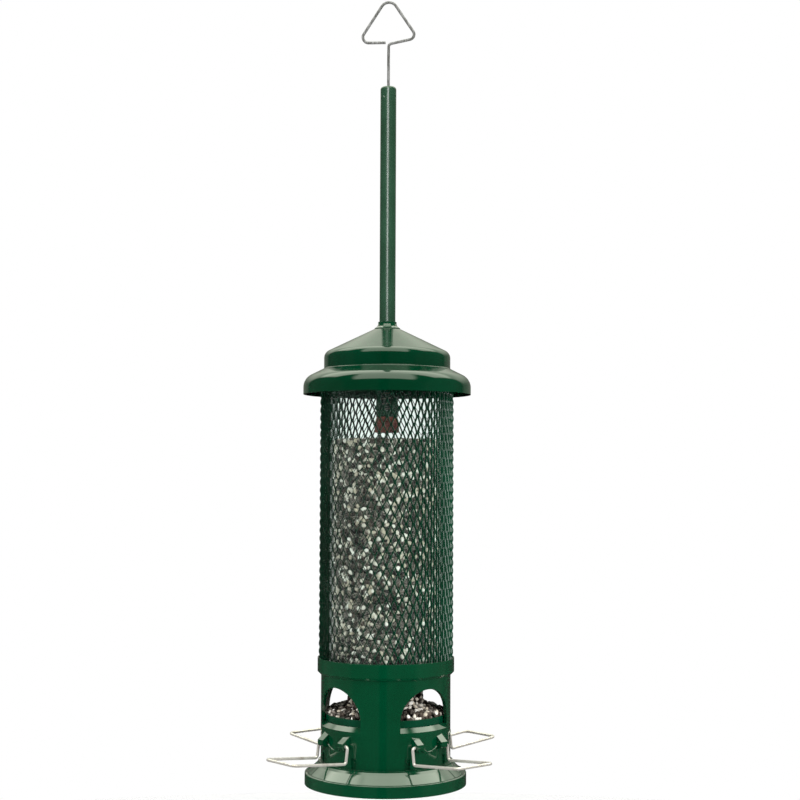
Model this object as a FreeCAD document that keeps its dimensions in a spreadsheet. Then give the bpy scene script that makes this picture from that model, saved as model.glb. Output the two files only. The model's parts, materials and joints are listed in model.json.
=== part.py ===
import FreeCAD, Part
import math
import os
import re
import Sketcher

# Hanging bird feeder with a spring-loaded shroud. Millimetres, +Z up.
# The origin is where a hook bears inside the top of the hanger loop. Depths are measured down from it.
# -Y is the front, where a web between two ports faces. The ports and perches stand at 45 degrees to it.

SIZES = {
    # Hanger wire: a bent triangle in the XZ plane and a stem down the middle
    "wire_radius": 1.2,
    "loop_apex_height": 7.1,
    "loop_apex_bend": 7.2,
    "loop_left_x": 26.2,
    "loop_left_depth": 33.6,
    "loop_left_bend": 5.0,
    "loop_right_x": 24.7,
    "loop_right_depth": 29.9,
    "loop_right_bend": 4.5,
    "loop_tail_x": 2.6,
    "stem_corner_depth": 34.9,
    "stem_bend": 3.0,
    "stem_end_depth": 97.0,
    "seat_gap": 0.02,
    # Swivel: ferrule on the wire, washer on the ferrule, plug crimped in the tube
    "ferrule_radius": 2.75,
    "ferrule_top_depth": 89.1,
    "ferrule_bottom_depth": 95.0,
    "washer_radius": 5.4,
    "washer_bore_radius": 1.35,
    "washer_top_depth": 88.0,
    "washer_bottom_depth": 89.0,
    "plug_radius": 6.03,
    "plug_bore_radius": 1.27,
    "plug_top_depth": 75.5,
    "plug_bottom_depth": 87.9,
    "crimp_depth": 80.9,
    # Hanger tube
    "tube_radius": 6.75,
    "tube_skin": 0.7,
    "tube_top_depth": 71.9,
    "tube_bottom_depth": 365.5,
    "tube_lip_radius": 4.0,
    "tube_lip_bend": 2.5,
    "dimple_radius": 2.2,
    "dimple_sink": 0.45,
    "dimple_first_angle": 248.0,
    "stop_ring_radius": 9.0,
    "stop_ring_bore_radius": 6.77,
    "stop_ring_top_depth": 292.0,
    "stop_ring_bottom_depth": 294.5,
    # Roof and its collar
    "slide_bore_radius": 7.05,
    "collar_bead_radius": 7.8,
    "collar_top_depth": 272.9,
    "collar_bead_bottom_depth": 274.7,
    "collar_waist_radius": 8.5,
    "collar_waist_depth": 276.6,
    "collar_flange_radius": 10.8,
    "collar_flange_edge": 0.6,
    "collar_sleeve_radius": 8.5,
    "collar_bottom_depth": 291.8,
    "roof_skin": 1.8,
    "roof_bore_radius": 8.6,
    "crown_radius": 53.2,
    "crown_corner_depth": 299.3,
    "crown_slope": 0.4837,
    "crown_bend": 6.7,
    "crown_foot_depth": 312.6,
    "crown_foot_bend": 1.0,
    "brim_radius": 70.5,
    "brim_slope": 0.4971,
    "brim_bend": 11.5,
    "brim_bottom_depth": 334.3,
    # Spider that hangs the shroud on the spring
    "hub_radius": 10.5,
    "hub_top_depth": 294.8,
    "hub_bottom_depth": 305.0,
    "neck_radius": 7.9,
    "neck_bottom_depth": 317.0,
    "spider_arm_width": 10.0,
    "spider_arm_top_depth": 302.0,
    "spider_leg_inner_radius": 48.6,
    "spider_leg_outer_radius": 50.6,
    "spider_foot_radius": 56.0,
    "spider_foot_top_depth": 316.8,
    "rivet_circle_radius": 54.6,
    "rivet_radius": 0.9,
    "rivet_head_radius": 1.5,
    "rivet_head_height": 0.3,
    "rivet_spread": 3.0,
    # Cage: top ring, mesh cylinder and base ring
    "cage_ring_inner_radius": 53.4,
    "cage_ring_skin_radius": 54.8,
    "cage_ring_flange_radius": 57.2,
    "cage_ring_top_depth": 317.8,
    "cage_ring_flange": 3.0,
    "cage_ring_bottom_depth": 330.0,
    "mesh_inner_radius": 54.9,
    "mesh_outer_radius": 56.1,
    "mesh_top_depth": 320.9,
    "mesh_bottom_depth": 562.0,
    "base_ring_radius": 57.0,
    "base_ring_seat_radius": 56.2,
    "base_ring_top_depth": 553.5,
    "base_ring_step_depth": 562.2,
    "base_ring_bottom_depth": 566.7,
    "base_ring_chamfer": 2.0,
    # Port housing
    "spigot_radius": 54.8,
    "spigot_top_depth": 556.0,
    "housing_radius": 54.0,
    "housing_inner_radius": 50.8,
    "housing_bottom_depth": 643.0,
    "port_half_width": 25.0,
    "port_sill_depth": 605.0,
    "port_spring_depth": 599.9,
    "port_sill_drop": 3.7,
    "port_angle": 45.0,
    "cut_overrun": 0.5,
    "perch_axis_radius": 55.6,
    "perch_axis_depth": 620.0,
    "socket_inner_offset": 9.5,
    "socket_outer_offset": 16.2,
    "socket_bore_radius": 1.28,
    "socket_bore_end_offset": 11.5,
    "socket_root_radius": 50.95,
    "socket_front_radius": 58.9,
    "socket_hood_depth": 611.8,
    "socket_brow_depth": 617.8,
    "socket_chin_depth": 622.6,
    "socket_foot_depth": 624.2,
    "socket_brow_bend": 1.0,
    "socket_chin_bend": 2.6,
    "smile_radius": 12.6,
    "smile_bead_radius": 0.9,
    "smile_centre_depth": 612.7,
    "smile_plane_radius": 53.6,
    "smile_half_angle": 46.0,
    "notch_width": 4.5,
    "notch_top_depth": 629.3,
    "notch_bottom_depth": 638.0,
    "notch_floor_radius": 52.4,
    "notch_angle": 21.3,
    # Tray
    "tray_collar_inner_radius": 54.25,
    "tray_collar_radius": 56.0,
    "tray_collar_top_depth": 638.2,
    "tray_skirt_top_depth": 639.4,
    "tray_waist_radius": 57.5,
    "tray_waist_depth": 641.2,
    "tray_gutter_radius": 64.6,
    "tray_gutter_depth": 647.6,
    "tray_gutter_drop": 0.6,
    "tray_gutter_width": 0.8,
    "tray_rim_radius": 67.2,
    "tray_rim_inner_radius": 65.0,
    "tray_rim_top_depth": 647.9,
    "tray_rim_bend": 0.8,
    "tray_bottom_depth": 657.5,
    "tray_floor_top_depth": 643.05,
    "tray_floor_bottom_depth": 645.3,
    "tray_haunch_radius": 57.0,
    "tray_haunch_depth": 650.3,
    "drain_slot_width": 3.0,
    "drain_slot_inner_radius": 16.0,
    "drain_slot_outer_radius": 44.0,
    "drain_slots": 12,
    "tray_groove_width": 1.2,
    "tray_groove_sink": 0.8,
    "tray_screw_circle_radius": 52.4,
    "tray_screw_radius": 1.1,
    "tray_screw_hole_radius": 1.15,
    "tray_screw_clear_radius": 1.5,
    "tray_screw_head_radius": 2.4,
    "tray_screw_head_height": 1.6,
    "tray_screw_tip_depth": 635.5,
    # Perches
    "perch_tip_offset": 12.0,
    "perch_leg_offset": 18.7,
    "perch_leg_foot_radius": 57.4,
    "perch_leg_foot_depth": 633.3,
    "perch_bar_radius": 109.4,
    "perch_bar_depth": 628.6,
    "perch_leg_bend": 2.2,
    "perch_corner_bend": 5.0,
    # Seed column
    "seed_tube_radius": 47.5,
    "seed_tube_bore_radius": 46.2,
    "seed_tube_top_depth": 333.0,
    "seed_tube_bottom_depth": 572.0,
    "funnel_collar_radius": 49.5,
    "funnel_collar_inner_radius": 47.6,
    "funnel_collar_top_depth": 560.0,
    "funnel_web_top_depth": 572.2,
    "funnel_web_bottom_depth": 574.2,
    "funnel_cone_radius": 45.9,
    "funnel_cone_top_depth": 556.0,
    "funnel_outlet_radius": 31.5,
    "funnel_outlet_depth": 577.0,
    "funnel_lip_depth": 579.0,
    "funnel_cone_skin": 3.0,
    "pillar_inner_radius": 42.0,
    "pillar_outer_radius": 45.5,
    "pillar_width": 16.0,
    "dish_radius": 50.2,
    "dish_wall_radius": 48.6,
    "dish_lip_depth": 599.3,
    "dish_floor_depth": 610.0,
    "dish_bottom_depth": 612.0,
    "dish_inner_bend": 2.4,
    "dish_outer_bend": 4.5,
    "dish_cone_radius": 32.0,
    "dish_cone_top_depth": 592.0,
    "dish_cone_skin": 2.3,
    "dish_drain_radius": 1.5,
    "dish_drain_circle_radius": 38.0,
    "dish_screw_radius": 1.0,
    "dish_screw_clear_radius": 1.3,
    "dish_screw_head_radius": 2.0,
    "dish_screw_head_height": 1.3,
    "dish_screw_tip_depth": 601.5,
    "dish_screw_spread": 5.0,
    "dish_screw_row_radius": 43.75,
    # Bridge from the tube to the seed tube
    "sleeve_radius": 9.2,
    "sleeve_bore_radius": 8.3,
    "bridge_top_depth": 327.3,
    "bridge_arm_bottom_depth": 331.0,
    "bridge_arm_width": 12.0,
    "bridge_clip_outer_radius": 45.9,
    "bridge_clip_inner_radius": 43.9,
    "bridge_clip_bottom_depth": 341.0,
    "spring_seat_bore_radius": 7.05,
    "spring_seat_top_depth": 351.5,
    "spring_seat_bottom_depth": 353.0,
    "sleeve_window_width": 8.0,
    "sleeve_window_top_depth": 333.0,
    "sleeve_window_bottom_depth": 349.0,
    "bridge_screw_depth": 337.0,
    "bridge_screw_radius": 1.2,
    "bridge_screw_hole_radius": 1.3,
    "bridge_screw_head_radius": 2.4,
    "bridge_screw_head_height": 1.4,
    # Closing spring and adjusting nut
    "spring_wire_radius": 0.45,
    "spring_mean_radius": 7.6,
    "spring_top_depth": 317.2,
    "spring_turns": 9,
    "nut_bore_radius": 6.8,
    "nut_top_depth": 353.2,
    "nut_top_radius": 8.8,
    "nut_shoulder_depth": 358.0,
    "nut_radius": 10.2,
    "nut_bottom_depth": 366.3,
    "nut_edge_bend": 0.8,
    "nut_grips": 16,
    "nut_grip_radius": 1.1,
}

FULL_TURN = 360
PORTS = 4
DIMPLES = 4
LEAST_CUT = 0.01
SIDES = (("left", -1), ("right", 1))
UP = FreeCAD.Vector(0, 0, 1)
OUT = FreeCAD.Vector(1, 0, 0)

doc = FreeCAD.newDocument("bird_feeder")
sheet = doc.addObject("Spreadsheet::Sheet", "Sizes")
for row, (alias, value) in enumerate(SIZES.items(), start=1):
    sheet.set(f"A{row}", alias)
    sheet.set(f"B{row}", str(value))
    sheet.setAlias(f"B{row}", alias)
doc.recompute()


def cells(text):
    """An expression in which every size's name points at its cell."""
    return re.sub(r"[a-z_]+", lambda word: f"Sizes.{word[0]}" if word[0] in SIZES else word[0], str(text))


def worked_out(text):
    """The value of an expression of the sheet's sizes."""
    return float(sheet.evalExpression(cells(text)))


def bind(thing, **properties):
    """Ties each property to an expression; a double underscore stands for the dot in a property's path."""
    for path, text in properties.items():
        thing.setExpression(path.replace("__", "."), cells(text))


def new_body(label):
    body = doc.addObject("PartDesign::Body", label)
    body.Label = label
    return body


def origin_feature(body, role):
    return next(item for item in body.Origin.OriginFeatures if item.Role == role)


def new_sketch(body, name, role="XZ_Plane"):
    sketch = body.newObject("Sketcher::SketchObject", name)
    sketch.AttachmentSupport = (origin_feature(body, role), [""])
    sketch.MapMode = "FlatFace"
    return sketch


def pin(sketch, geometry, point, x, y):
    """Holds one point of the sketch at a pair of expressions."""
    for kind, text in (("DistanceX", x), ("DistanceY", y)):
        index = sketch.addConstraint(Sketcher.Constraint(kind, geometry, point, worked_out(text)))
        sketch.setExpression(f"Constraints[{index}]", cells(text))


def tangent_arc(corner, before, after, radius):
    """The arc of one rounded corner, where it starts and ends on the two runs, and if it turns left."""
    back = (before - corner).normalize()
    ahead = (after - corner).normalize()
    half = back.getAngle(ahead) / 2
    start = corner + back * (radius / math.tan(half))
    end = corner + ahead * (radius / math.tan(half))
    centre = corner + (back + ahead).normalize() * (radius / math.sin(half))
    turns_left = ahead.cross(back).z > 0
    first, last = (start, end) if turns_left else (end, start)
    angles = [math.atan2(p.y - centre.y, p.x - centre.x) for p in (first, last)]
    circle = Part.Circle(centre, FreeCAD.Vector(0, 0, 1), radius)
    return Part.ArcOfCircle(circle, angles[0], angles[1]), start, end, turns_left


def draw(sketch, corners, closed=True):
    """Draws straight runs through corners (x, y) or (x, y, bend radius), each of them an expression."""
    points = [FreeCAD.Vector(worked_out(c[0]), worked_out(c[1]), 0) for c in corners]
    count = len(points)
    arcs = {}
    for i, corner in enumerate(corners):
        if len(corner) > 2:
            after = points[(i + 1) % count]
            arcs[i] = tangent_arc(points[i], points[i - 1], after, worked_out(corner[2]))
    runs = []
    for i in range(count if closed else count - 1):
        j = (i + 1) % count
        start = arcs[i][2] if i in arcs else points[i]
        end = arcs[j][1] if j in arcs else points[j]
        runs.append(sketch.addGeometry(Part.LineSegment(start, end)))
    for i, corner in enumerate(corners):
        run_before = runs[i - 1] if closed or i > 0 else None
        run_after = runs[i] if i < len(runs) else None
        if i in arcs:
            arc = sketch.addGeometry(arcs[i][0])
            first, last = (1, 2) if arcs[i][3] else (2, 1)
            sketch.addConstraint(Sketcher.Constraint("Tangent", run_before, 2, arc, first))
            sketch.addConstraint(Sketcher.Constraint("Tangent", arc, last, run_after, 1))
            index = sketch.addConstraint(Sketcher.Constraint("Radius", arc, worked_out(corner[2])))
            sketch.setExpression(f"Constraints[{index}]", cells(corner[2]))
            mark = sketch.addGeometry(Part.Point(points[i]), True)
            sketch.addConstraint(Sketcher.Constraint("PointOnObject", mark, 1, run_before))
            sketch.addConstraint(Sketcher.Constraint("PointOnObject", mark, 1, run_after))
            pin(sketch, mark, 1, corner[0], corner[1])
            continue
        if run_before is not None and run_after is not None:
            sketch.addConstraint(Sketcher.Constraint("Coincident", run_before, 2, run_after, 1))
        if run_after is not None:
            pin(sketch, run_after, 1, corner[0], corner[1])
        else:
            pin(sketch, run_before, 2, corner[0], corner[1])


def draw_circle(sketch, x, y, radius):
    place = FreeCAD.Vector(worked_out(x), worked_out(y), 0)
    circle = sketch.addGeometry(Part.Circle(place, FreeCAD.Vector(0, 0, 1), worked_out(radius)))
    index = sketch.addConstraint(Sketcher.Constraint("Radius", circle, worked_out(radius)))
    sketch.setExpression(f"Constraints[{index}]", cells(radius))
    pin(sketch, circle, 3, x, y)


def turn(body, name, corners):
    """Revolves an outline of (radius, height) corners round the Z axis."""
    sketch = new_sketch(body, f"{name}_outline")
    draw(sketch, corners)
    feature = body.newObject("PartDesign::Revolution", f"{name}_turn")
    feature.Profile = sketch
    feature.ReferenceAxis = (sketch, ["V_Axis"])
    feature.Angle = FULL_TURN
    return feature


def turned(label, corners):
    body = new_body(label)
    turn(body, label, corners)
    return body


def polar(body, name, originals, count):
    """Repeats features evenly round the Z axis. Features that face different ways need a call each."""
    pattern = body.newObject("PartDesign::PolarPattern", name)
    pattern.Originals = originals
    pattern.Axis = (origin_feature(body, "Z_Axis"), [""])
    pattern.Angle = FULL_TURN
    pattern.Occurrences = count
    body.Tip = pattern


def groove(body, name, corners):
    """Cuts an outline of (radius, height) corners out, all round the Z axis."""
    sketch = new_sketch(body, f"{name}_outline")
    draw(sketch, corners)
    feature = body.newObject("PartDesign::Groove", name)
    feature.Profile = sketch
    feature.ReferenceAxis = (sketch, ["V_Axis"])
    feature.Angle = FULL_TURN
    return feature


def block(body, name, kind, corner, size):
    """A box added or cut, from its lowest corner and its size, each three expressions."""
    feature = body.newObject(f"PartDesign::{kind}Box", name)
    bind(feature, Length=size[0], Width=size[1], Height=size[2])
    bind(feature, Placement__Base__x=corner[0], Placement__Base__y=corner[1], Placement__Base__z=corner[2])
    return feature


def rod(body, name, kind, radius, foot, height, x="0", y="0", direction=None):
    """A round rod added or cut, upright unless it has a direction, from the middle of its foot."""
    feature = body.newObject(f"PartDesign::{kind}Cylinder", name)
    if direction is not None:
        feature.Placement = FreeCAD.Placement(FreeCAD.Vector(), FreeCAD.Rotation(UP, direction))
    bind(feature, Radius=radius, Height=height)
    bind(feature, Placement__Base__x=x, Placement__Base__y=y, Placement__Base__z=foot)
    return feature


def turned_to_ports(body):
    """Turns a body that was drawn with a port along +X, so that its ports stand at 45 degrees."""
    body.Placement = FreeCAD.Placement(FreeCAD.Vector(), FreeCAD.Rotation(UP, worked_out("port_angle")))
    return body


# Hanger

def hanger_wire():
    """One bent wire: the stem, the three bends of the loop, and a free tail that closes the triangle."""
    body = new_body("hanger_wire")
    path = new_sketch(body, "wire_path")
    draw(path, [
        ("0", "-stem_end_depth"),
        ("0", "-stem_corner_depth", "stem_bend"),
        ("loop_right_x", "-loop_right_depth", "loop_right_bend"),
        ("0", "loop_apex_height", "loop_apex_bend"),
        ("-loop_left_x", "-loop_left_depth", "loop_left_bend"),
        ("-loop_tail_x", "-loop_left_depth"),
    ], closed=False)
    section = new_sketch(body, "wire_section", "XY_Plane")
    bind(section, AttachmentOffset__Base__z="-stem_end_depth")
    draw_circle(section, "0", "0", "wire_radius")
    pipe = body.newObject("PartDesign::AdditivePipe", "wire_pipe")
    pipe.Profile = section
    pipe.Spine = (path, [])
    return body


def hanger():
    """The wire and the two pieces on its lower end, which carry the weight and let the tube swivel."""
    grip = "wire_radius + seat_gap"
    ferrule = turned("wire_stop", [
        (grip, "-ferrule_top_depth"),
        ("ferrule_radius", "-ferrule_top_depth"),
        ("ferrule_radius", "-ferrule_bottom_depth"),
        (grip, "-ferrule_bottom_depth"),
    ])
    washer = turned("thrust_washer", [
        ("washer_bore_radius", "-washer_top_depth"),
        ("washer_radius", "-washer_top_depth"),
        ("washer_radius", "-washer_bottom_depth"),
        ("washer_bore_radius", "-washer_bottom_depth"),
    ])
    return [hanger_wire(), ferrule, washer]


# Tube

def hanger_tube():
    """The long tube, rolled in at its top and crimped on the plug by four dimples."""
    body = turned("hanger_tube", [
        ("tube_lip_radius", "-tube_top_depth"),
        ("tube_radius", "-tube_top_depth", "tube_lip_bend"),
        ("tube_radius", "-tube_bottom_depth"),
        ("tube_radius - tube_skin", "-tube_bottom_depth"),
        ("tube_radius - tube_skin", "-tube_top_depth - tube_skin", "tube_lip_bend - tube_skin"),
        ("tube_lip_radius", "-tube_top_depth - tube_skin"),
    ])
    dimple = body.newObject("PartDesign::SubtractiveSphere", "dimple")
    reach = "(tube_radius + dimple_radius - dimple_sink)"
    bind(dimple, Radius="dimple_radius")
    bind(dimple, Placement__Base__x=f"{reach} * cos(dimple_first_angle)")
    bind(dimple, Placement__Base__y=f"{reach} * sin(dimple_first_angle)")
    bind(dimple, Placement__Base__z="-crimp_depth")
    polar(body, "dimples", [dimple], DIMPLES)
    return body


def tube():
    """The tube with its crimped plug and the ring that the roof rests on."""
    plug = turned("tube_plug", [
        ("plug_bore_radius", "-plug_top_depth"),
        ("plug_radius", "-plug_top_depth"),
        ("plug_radius", "-plug_bottom_depth"),
        ("plug_bore_radius", "-plug_bottom_depth"),
    ])
    ring = turned("stop_ring", [
        ("stop_ring_bore_radius", "-stop_ring_top_depth"),
        ("stop_ring_radius", "-stop_ring_top_depth"),
        ("stop_ring_radius", "-stop_ring_bottom_depth"),
        ("stop_ring_bore_radius", "-stop_ring_bottom_depth"),
    ])
    return [hanger_tube(), plug, ring]


# Roof

def crown_height(radius, below="0"):
    """Height of the crown's cone at a radius, or of its underside."""
    return f"(-crown_corner_depth + crown_slope * (crown_radius - {radius}) - {below})"


def brim_height(radius, below="0"):
    """Height of the brim's slope at a radius, or of its underside."""
    return f"(-crown_foot_depth - brim_slope * ({radius} - crown_radius) - {below})"


def roof():
    """The two-step roof, one even skin, and the bush that slides on the tube and rests on the stop ring."""
    crown_drop = "roof_skin * sqrt(1 + crown_slope * crown_slope)"
    brim_drop = "roof_skin * sqrt(1 + brim_slope * brim_slope)"
    crown_inside = "crown_radius - roof_skin"
    brim_inside = "brim_radius - roof_skin"
    shell = turned("roof", [
        ("roof_bore_radius", crown_height("roof_bore_radius")),
        ("crown_radius", "-crown_corner_depth", "crown_bend"),
        ("crown_radius", "-crown_foot_depth", "crown_foot_bend"),
        ("brim_radius", brim_height("brim_radius"), "brim_bend"),
        ("brim_radius", "-brim_bottom_depth"),
        (brim_inside, "-brim_bottom_depth"),
        (brim_inside, brim_height(f"({brim_inside})", brim_drop), "brim_bend - roof_skin"),
        (crown_inside, brim_height(f"({crown_inside})", brim_drop), "crown_foot_bend + roof_skin"),
        (crown_inside, crown_height(f"({crown_inside})", crown_drop), "crown_bend - roof_skin"),
        ("roof_bore_radius", crown_height("roof_bore_radius", crown_drop)),
    ])
    flange = crown_height("collar_flange_radius")
    collar = turned("roof_collar", [
        ("slide_bore_radius", "-collar_top_depth"),
        ("collar_bead_radius", "-collar_top_depth"),
        ("collar_bead_radius", "-collar_bead_bottom_depth"),
        ("collar_waist_radius", "-collar_waist_depth"),
        ("collar_flange_radius", f"{flange} + collar_flange_edge"),
        ("collar_flange_radius", f"{flange} + seat_gap"),
        ("collar_sleeve_radius", f"{crown_height('collar_sleeve_radius')} + seat_gap"),
        ("collar_sleeve_radius", "-collar_bottom_depth"),
        ("slide_bore_radius", "-collar_bottom_depth"),
    ])
    return [shell, collar]


# Shroud

def spider():
    """Hub, two arms that bend down into legs, and feet on the cage's top ring. The neck presses the coil."""
    body = new_body("shroud_spider")
    width = "spider_arm_width"
    foot_depth = "cage_ring_top_depth"
    block(body, "spider_arms", "Additive",
          ("-spider_arm_width / 2", "-spider_leg_outer_radius", "-hub_bottom_depth"),
          (width, "2 * spider_leg_outer_radius", "hub_bottom_depth - spider_arm_top_depth"))
    turn(body, "spider_hub", [
        ("0", "-hub_top_depth"),
        ("hub_radius", "-hub_top_depth"),
        ("hub_radius", "-hub_bottom_depth"),
        ("neck_radius", "-hub_bottom_depth"),
        ("neck_radius", "-neck_bottom_depth"),
        ("0", "-neck_bottom_depth"),
    ])
    leg = block(body, "spider_leg", "Additive",
                ("-spider_arm_width / 2", "spider_leg_inner_radius", f"-{foot_depth}"),
                (width, "spider_leg_outer_radius - spider_leg_inner_radius",
                 f"{foot_depth} - spider_arm_top_depth"))
    foot = block(body, "spider_foot", "Additive",
                 ("-spider_arm_width / 2", "spider_leg_inner_radius", f"-{foot_depth}"),
                 (width, "spider_foot_radius - spider_leg_inner_radius",
                  f"{foot_depth} - spider_foot_top_depth"))
    polar(body, "spider_legs", [leg, foot], 2)
    groove(body, "spider_bore", [
        ("0", "-hub_top_depth + cut_overrun"),
        ("slide_bore_radius", "-hub_top_depth + cut_overrun"),
        ("slide_bore_radius", "-neck_bottom_depth - cut_overrun"),
        ("0", "-neck_bottom_depth - cut_overrun"),
    ])
    holes = [
        rod(body, f"rivet_hole_{side}", "Subtractive", "rivet_radius", f"-{foot_depth} - cut_overrun",
            "2 * cut_overrun + rivet_head_radius", x=f"{sign} * rivet_spread", y="rivet_circle_radius")
        for side, sign in SIDES
    ]
    polar(body, "rivet_holes", holes, 2)
    return body


def rivets():
    """Two rivets in each spider foot, flush under the ring's flange."""
    body = new_body("spider_rivets")
    body.AllowCompound = True
    parts = []
    for side, sign in SIDES:
        place = {"x": f"{sign} * rivet_spread", "y": "rivet_circle_radius"}
        parts.append(rod(body, f"rivet_shank_{side}", "Additive", "rivet_radius - seat_gap",
                         "-cage_ring_top_depth - cage_ring_flange",
                         "cage_ring_top_depth + cage_ring_flange - spider_foot_top_depth", **place))
        parts.append(rod(body, f"rivet_head_{side}", "Additive", "rivet_head_radius",
                         "-spider_foot_top_depth", "rivet_head_height", **place))
    polar(body, "rivet_set", parts, 2)
    return body


def cage():
    """Top ring with its flange, the mesh as a thin cylinder, and the band that holds its lower end."""
    flange_bottom = "-cage_ring_top_depth - cage_ring_flange"
    top_ring = turned("cage_top_ring", [
        ("cage_ring_inner_radius", "-cage_ring_top_depth"),
        ("cage_ring_flange_radius", "-cage_ring_top_depth"),
        ("cage_ring_flange_radius", flange_bottom),
        ("cage_ring_skin_radius", flange_bottom),
        ("cage_ring_skin_radius", "-cage_ring_bottom_depth"),
        ("cage_ring_inner_radius", "-cage_ring_bottom_depth"),
    ])
    holes = [
        rod(top_ring, f"ring_hole_{side}", "Subtractive", "rivet_radius", f"{flange_bottom} - cut_overrun",
            "cage_ring_flange + 2 * cut_overrun", x=f"{sign} * rivet_spread", y="rivet_circle_radius")
        for side, sign in SIDES
    ]
    polar(top_ring, "ring_holes", holes, 2)
    mesh = turned("cage_mesh", [
        ("mesh_inner_radius", "-mesh_top_depth"),
        ("mesh_outer_radius", "-mesh_top_depth"),
        ("mesh_outer_radius", "-mesh_bottom_depth"),
        ("mesh_inner_radius", "-mesh_bottom_depth"),
    ])
    base_ring = turned("cage_base_ring", [
        ("base_ring_seat_radius", "-base_ring_top_depth"),
        ("base_ring_radius", "-base_ring_top_depth"),
        ("base_ring_radius", "-base_ring_bottom_depth + base_ring_chamfer"),
        ("base_ring_radius - base_ring_chamfer", "-base_ring_bottom_depth"),
        ("mesh_inner_radius", "-base_ring_bottom_depth"),
        ("mesh_inner_radius", "-base_ring_step_depth"),
        ("base_ring_seat_radius", "-base_ring_step_depth"),
    ])
    return [top_ring, mesh, base_ring]


def draw_arch(sketch):
    """A port's outline: a sill, two short sides and a half circle on top."""
    half = worked_out("port_half_width")
    sill = -worked_out("port_sill_depth")
    spring = -worked_out("port_spring_depth")
    circle = Part.Circle(FreeCAD.Vector(0, spring, 0), UP, half)
    ends = ((-half, spring), (-half, sill), (half, sill), (half, spring))
    corners = [FreeCAD.Vector(x, y, 0) for x, y in ends]
    runs = [sketch.addGeometry(Part.LineSegment(a, b)) for a, b in zip(corners, corners[1:])]
    arc = sketch.addGeometry(Part.ArcOfCircle(circle, 0, math.pi))
    loop = [*runs, arc]
    for before, after in zip(loop, loop[1:] + loop[:1]):
        sketch.addConstraint(Sketcher.Constraint("Coincident", before, 2, after, 1))
    pin(sketch, runs[0], 1, "-port_half_width", "-port_spring_depth")
    pin(sketch, runs[1], 1, "-port_half_width", "-port_sill_depth")
    pin(sketch, runs[1], 2, "port_half_width", "-port_sill_depth")
    pin(sketch, arc, 3, "0", "-port_spring_depth")


def cut_ports(body):
    """Cuts the four arched ports and slopes their sills outward and down."""
    arch = new_sketch(body, "port_arch", "YZ_Plane")
    draw_arch(arch)
    port = body.newObject("PartDesign::Pocket", "port")
    port.Profile = arch
    port.Reversed = True
    bind(port, Length="spigot_radius + cut_overrun")
    polar(body, "ports", [port], PORTS)
    slope = "port_sill_drop / (housing_radius - housing_inner_radius)"
    outside = "(housing_radius + cut_overrun)"
    wedge = new_sketch(body, "sill_wedge")
    draw(wedge, [
        ("housing_inner_radius", "-port_sill_depth"),
        (outside, f"-port_sill_depth - {slope} * ({outside} - housing_inner_radius)"),
        (outside, "-port_sill_depth"),
    ])
    sill = body.newObject("PartDesign::Groove", "sill")
    sill.Profile = wedge
    sill.ReferenceAxis = (wedge, ["V_Axis"])
    sill.Midplane = True
    bind(sill, Angle="2 * asin(port_half_width / housing_radius)")
    polar(body, "sills", [sill], PORTS)


def perch_sockets(body, side, near, far):
    """A hooded socket by each port, between two offsets from the port's middle plane, measured towards -Y."""
    outline = new_sketch(body, f"socket_outline_{side}")
    bind(outline, AttachmentOffset__Base__z=near)
    draw(outline, [
        ("socket_root_radius", "-socket_hood_depth"),
        ("socket_front_radius", "-socket_brow_depth", "socket_brow_bend"),
        ("socket_front_radius", "-socket_chin_depth", "socket_chin_bend"),
        ("socket_root_radius", "-socket_foot_depth"),
    ])
    pad = body.newObject("PartDesign::Pad", f"socket_{side}")
    pad.Profile = outline
    bind(pad, Length=f"({far}) - ({near})")
    polar(body, f"sockets_{side}", [pad], PORTS)


def socket_bores(body, side, near, far):
    circle = new_sketch(body, f"socket_bore_circle_{side}")
    bind(circle, AttachmentOffset__Base__z=near)
    draw_circle(circle, "perch_axis_radius", "-perch_axis_depth", "socket_bore_radius")
    pocket = body.newObject("PartDesign::Pocket", f"socket_bore_{side}")
    pocket.Profile = circle
    pocket.Reversed = True
    bind(pocket, Length=f"({far}) - ({near})")
    polar(body, f"socket_bores_{side}", [pocket], PORTS)


def add_sockets(body):
    """Eight perch sockets with blind bores, and a curved bead between the two of each port."""
    perch_sockets(body, "right", "socket_inner_offset", "socket_outer_offset")
    perch_sockets(body, "left", "-socket_outer_offset", "-socket_inner_offset")
    bead = body.newObject("PartDesign::AdditiveTorus", "smile_bead")
    start = -90 - worked_out("smile_half_angle")
    into_port_plane = FreeCAD.Rotation(FreeCAD.Vector(1, 1, 1), 120)
    turned_down = FreeCAD.Rotation(FreeCAD.Vector(1, 0, 0), start)
    bead.Placement = FreeCAD.Placement(FreeCAD.Vector(), turned_down * into_port_plane)
    bind(bead, Radius1="smile_radius", Radius2="smile_bead_radius", Angle3="2 * smile_half_angle")
    bind(bead, Placement__Base__x="smile_plane_radius", Placement__Base__z="-smile_centre_depth")
    polar(body, "smile_beads", [bead], PORTS)
    socket_bores(body, "right", "socket_bore_end_offset", "socket_outer_offset + cut_overrun")
    socket_bores(body, "left", "-socket_outer_offset - cut_overrun", "-socket_bore_end_offset")


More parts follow.
